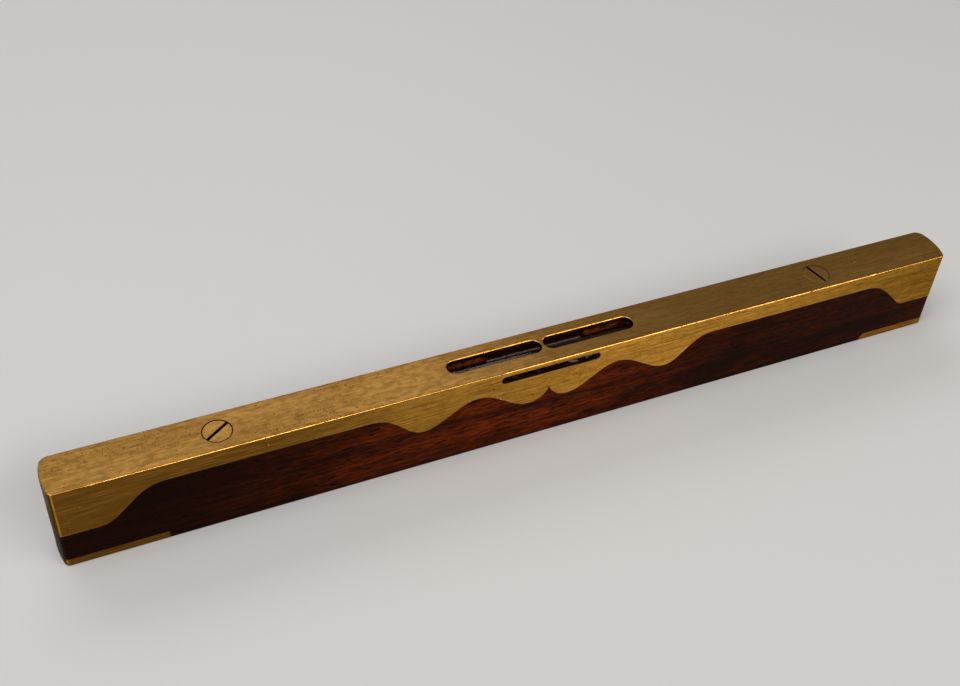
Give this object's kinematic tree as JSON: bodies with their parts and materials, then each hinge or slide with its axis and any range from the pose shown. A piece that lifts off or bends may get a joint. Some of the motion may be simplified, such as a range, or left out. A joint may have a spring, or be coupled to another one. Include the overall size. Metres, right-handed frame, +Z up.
{
  "type": "spirit level",
  "caption": "Slim rosewood spirit level with a scalloped brass cap, brass toe plates and a bubble vial seen through slots in the top and sides.",
  "frame": {"origin": "centre of the sole, on the surface that the level stands on", "axes": "+X along the stock, +Z up, -Y the front; front and back are alike but for wear"},
  "size_m": [0.306, 0.015, 0.031],
  "materials": {
    "rosewood": "very dark red-brown rosewood, oiled and hand polished, fine lengthwise grain",
    "cap_brass": "aged golden brass with fine lengthwise file marks and olive-brown tarnish",
    "screw_brass": "filed flush and tarnished with the cap",
    "toe_brass": "darker, rubbed brass",
    "vial_glass": "clear drawn glass",
    "spirit": "clear, faintly yellow liquid",
    "bubble": "clear air",
    "plaster": "dry matt plaster"
  },
  "bodies": {
    "level": {"wood_stock": "rosewood", "brass_top_cap": "cap_brass", "cap_screw_left": "screw_brass", "cap_screw_right": "screw_brass", "toe_plate_left": "toe_brass", "toe_plate_right": "toe_brass", "toe_screw_left_outer": "screw_brass", "toe_screw_left_inner": "screw_brass", "toe_screw_right_outer": "screw_brass", "toe_screw_right_inner": "screw_brass", "vial_glass": "vial_glass", "vial_tip": "vial_glass", "vial_spirit": "spirit", "bed_plaster_left": "plaster", "bed_plaster_right": "plaster"},
    "bubble": {"vial_bubble": "bubble"}
  },
  "joints": [
    {"name": "bubble_slide", "type": "slide", "parent": "level", "child": "bubble", "axis": [1, 0, 0], "range_m": [-0.021, 0.021], "stiffness_N_per_m": 0.05}
  ]
}
